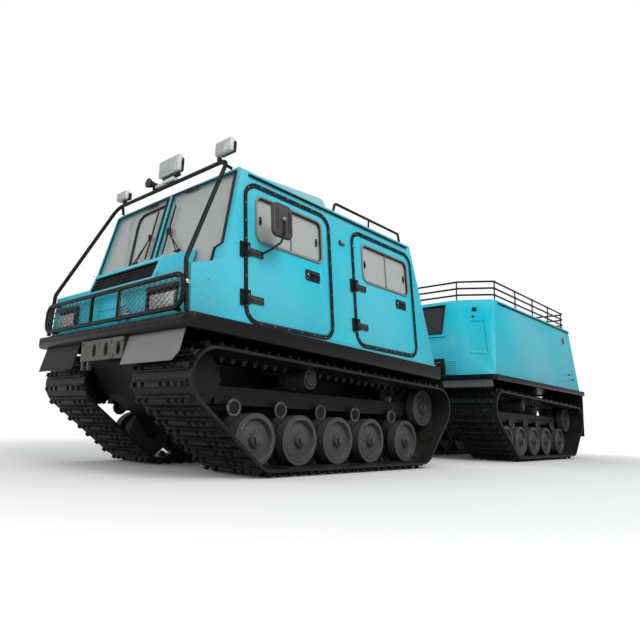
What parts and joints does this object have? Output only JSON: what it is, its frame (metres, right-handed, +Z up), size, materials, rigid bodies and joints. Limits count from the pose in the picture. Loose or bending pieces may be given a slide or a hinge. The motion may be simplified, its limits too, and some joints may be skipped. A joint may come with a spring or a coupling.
{
  "type": "articulated tracked carrier",
  "caption": "Two-car tracked all terrain vehicle: a front cab with hinged doors and a nose guard, and a rear body with a roof rail, joined by a steered articulation.",
  "frame": {"origin": "on the ground under the middle of the whole vehicle's box", "axes": "+Z up, -Y towards the front of the vehicle, +X towards the vehicle's left"},
  "size_m": [2.0306, 6.9, 2.252],
  "materials": {
    "body_paint": "gloss",
    "black_steel": "satin",
    "grey_steel": "satin",
    "bare_steel": "satin",
    "rod_chrome": "polished",
    "cast_hull": "rough",
    "track_rubber": "matte",
    "seal_rubber": "satin",
    "wheel_paint": "satin",
    "window_glass": "clear",
    "trim_plastic": "matte",
    "lamp_lens": "gloss",
    "seat_cloth": "woven"
  },
  "bodies": {
    "front_car": {"front_chassis": "black_steel", "tow_plate": "black_steel", "cab_shell": "body_paint", "engine_cover": "body_paint", "nose_louvres": "black_steel", "roof_pod": "body_paint", "cab_glass": "window_glass", "cab_seals": "seal_rubber", "door_hinge_plates": "black_steel", "dashboard": "trim_plastic", "engine_block": "cast_hull", "cab_seats": "seat_cloth", "brush_guard": "black_steel", "guard_mesh": "black_steel", "front_lamps": "lamp_lens", "cab_roof_rails": "black_steel", "front_flaps": "grey_steel", "wipers": "black_steel", "front_track_left": "track_rubber", "front_track_right": "track_rubber", "front_wheels": "wheel_paint", "front_track_frames": "cast_hull"},
    "steering_wheel": {"steering_wheel": "trim_plastic"},
    "front_door_left": {"front_door_left": "body_paint", "front_door_left_glass": "window_glass", "front_door_left_fittings": "trim_plastic"},
    "front_door_right": {"front_door_right": "body_paint", "front_door_right_glass": "window_glass", "front_door_right_fittings": "trim_plastic"},
    "rear_door_left": {"rear_door_left": "body_paint", "rear_door_left_glass": "window_glass", "rear_door_left_fittings": "trim_plastic"},
    "rear_door_right": {"rear_door_right": "body_paint", "rear_door_right_glass": "window_glass", "rear_door_right_fittings": "trim_plastic"},
    "pitch_frame": {"pitch_frame": "cast_hull"},
    "roll_arm": {"roll_arm": "cast_hull"},
    "steer_cylinder_left": {"steer_cylinder_left": "grey_steel"},
    "steer_rod_left": {"steer_rod_left": "rod_chrome"},
    "steer_cylinder_right": {"steer_cylinder_right": "grey_steel"},
    "steer_rod_right": {"steer_rod_right": "rod_chrome"},
    "rear_car": {"rear_chassis": "black_steel", "rear_body": "body_paint", "rear_front_glass": "window_glass", "tail_hinge_plates": "black_steel", "rear_roof_rail": "black_steel", "rear_lamps": "lamp_lens", "rear_flaps": "grey_steel", "rear_benches": "seat_cloth", "rear_track_left": "track_rubber", "rear_track_right": "track_rubber", "rear_wheels": "wheel_paint", "rear_track_frames": "cast_hull"},
    "tail_door": {"tail_door": "body_paint", "tail_door_glass": "window_glass", "tail_door_fittings": "trim_plastic"}
  },
  "joints": [
    {"name": "car_pitch", "type": "hinge", "parent": "front_car", "child": "pitch_frame", "pos_m": [0, -0.53, 0.52], "axis": [1, 0, 0], "range_deg": [-20, 20]},
    {"name": "car_steer", "type": "hinge", "parent": "pitch_frame", "child": "roll_arm", "pos_m": [0, 0.02, 0.52], "axis": [0, 0, 1], "range_deg": [-34, 34]},
    {"name": "car_roll", "type": "hinge", "parent": "roll_arm", "child": "rear_car", "pos_m": [0, 0.24, 0.52], "axis": [0, 1, 0], "range_deg": [-30, 30]},
    {"name": "steer_cylinder_left_swing", "type": "hinge", "parent": "pitch_frame", "child": "steer_cylinder_left", "pos_m": [0.185, -0.4, 0.612], "axis": [0, 0, 1], "range_deg": [-9, 9]},
    {"name": "steer_rod_left_stroke", "type": "slide", "parent": "steer_cylinder_left", "child": "steer_rod_left", "axis": [0, 1, 0], "range_m": [-0.11, 0.11]},
    {"name": "steer_cylinder_right_swing", "type": "hinge", "parent": "pitch_frame", "child": "steer_cylinder_right", "pos_m": [-0.185, -0.4, 0.612], "axis": [0, 0, 1], "range_deg": [-9, 9]},
    {"name": "steer_rod_right_stroke", "type": "slide", "parent": "steer_cylinder_right", "child": "steer_rod_right", "axis": [0, 1, 0], "range_m": [-0.11, 0.11]},
    {"name": "front_door_left_hinge", "type": "hinge", "parent": "front_car", "child": "front_door_left", "pos_m": [0.88854, -2.957, 1.25195], "axis": [0.0975, 0, -0.9952], "range_deg": [0, 85]},
    {"name": "front_door_right_hinge", "type": "hinge", "parent": "front_car", "child": "front_door_right", "pos_m": [-0.88854, -2.957, 1.25195], "axis": [0.0975, 0, 0.9952], "range_deg": [0, 85]},
    {"name": "rear_door_left_hinge", "type": "hinge", "parent": "front_car", "child": "rear_door_left", "pos_m": [0.88854, -1.842, 1.25195], "axis": [0.0975, 0, -0.9952], "range_deg": [0, 85]},
    {"name": "rear_door_right_hinge", "type": "hinge", "parent": "front_car", "child": "rear_door_right", "pos_m": [-0.88854, -1.842, 1.25195], "axis": [0.0975, 0, 0.9952], "range_deg": [0, 85]},
    {"name": "tail_door_hinge", "type": "hinge", "parent": "rear_car", "child": "tail_door", "pos_m": [-0.414, 3.38788, 1.35], "axis": [0, -0.14, 0.9901], "range_deg": [0, 100]},
    {"name": "steering_turn", "type": "hinge", "parent": "front_car", "child": "steering_wheel", "pos_m": [0.52, -2.764, 1.356], "axis": [0, 0.8107, 0.5855], "range_deg": [-540, 540]}
  ],
  "couplings": [
    {"joint": "steer_cylinder_left_swing", "follows": "car_steer", "ratio": 0.248},
    {"joint": "steer_rod_left_stroke", "follows": "car_steer", "m_per_rad": 0.1803},
    {"joint": "steer_cylinder_right_swing", "follows": "car_steer", "ratio": 0.248},
    {"joint": "steer_rod_right_stroke", "follows": "car_steer", "m_per_rad": -0.1803}
  ]
}
